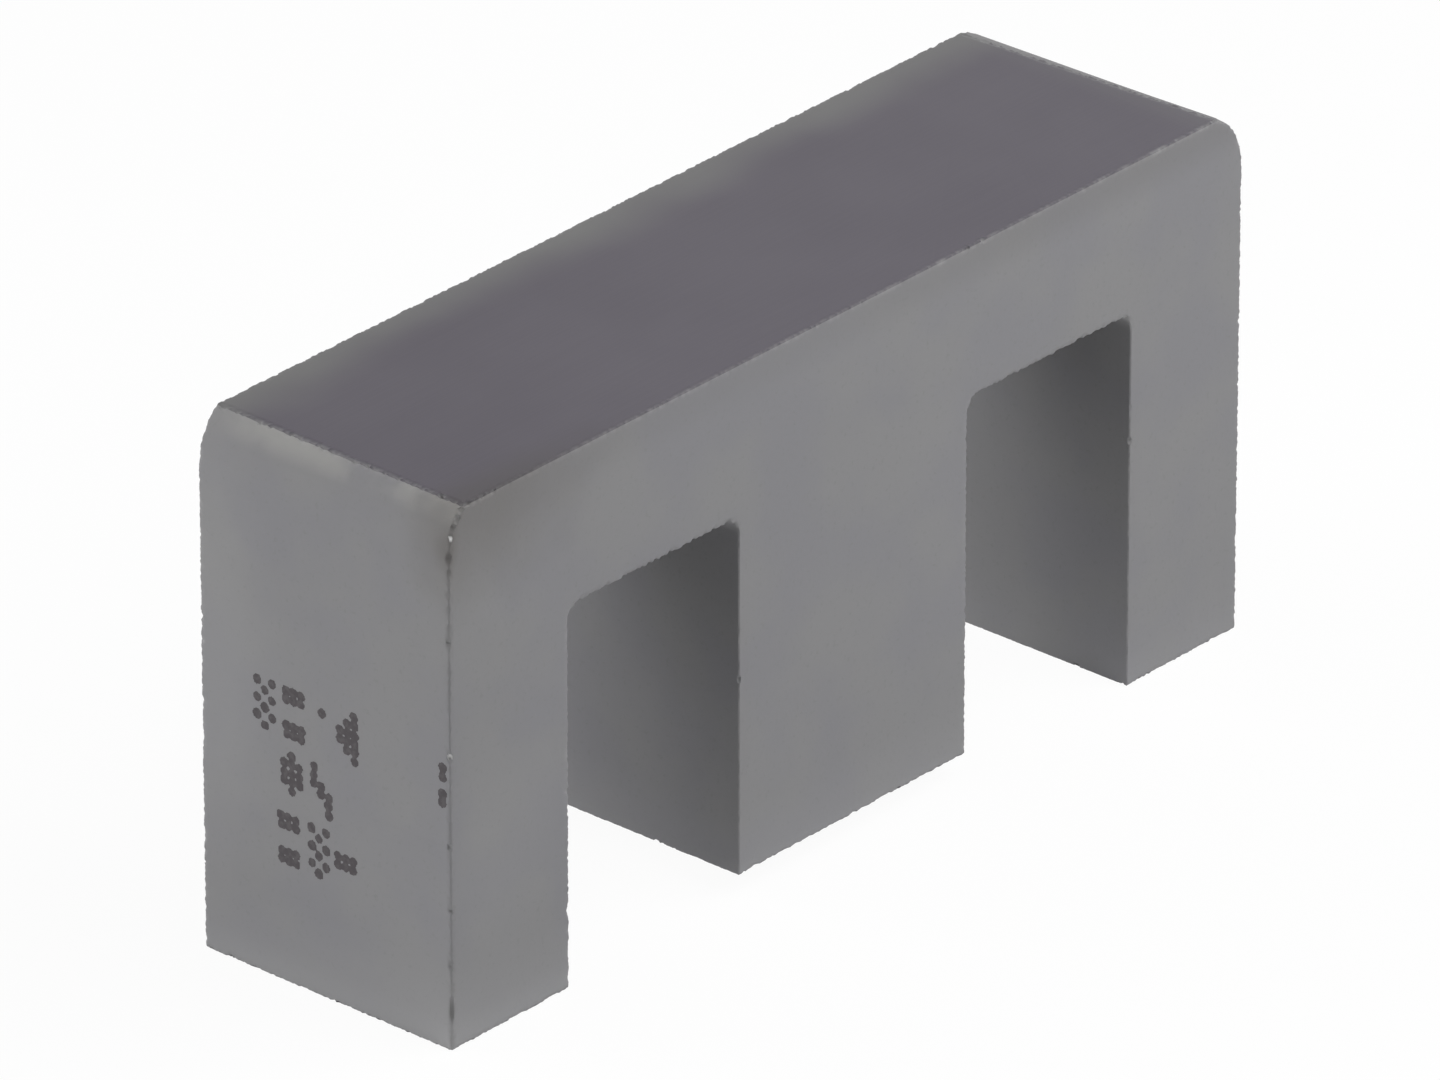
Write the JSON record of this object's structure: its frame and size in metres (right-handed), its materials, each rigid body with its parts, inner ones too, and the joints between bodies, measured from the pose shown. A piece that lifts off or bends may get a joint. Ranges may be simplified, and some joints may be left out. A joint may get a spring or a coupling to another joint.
{
  "type": "gapped ferrite e core half",
  "caption": "Half of an E shaped ferrite core, with a centre leg ground short to leave an air gap, rounded back corners and open winding windows beside the centre leg.",
  "frame": {"origin": "midway between the outer legs and through the depth, level with the ground ends of the outer legs", "axes": "+X along the core from one outer leg to the other, +Y through the depth towards the rear, +Z from the leg ends up to the back"},
  "size_m": [0.0256, 0.007, 0.0126],
  "materials": {
    "ferrite": "matt sintered manganese zinc ferrite, mid grey, unglazed and uncoated"
  },
  "bodies": {
    "root": {"e_core": "ferrite"}
  },
  "joints": []
}
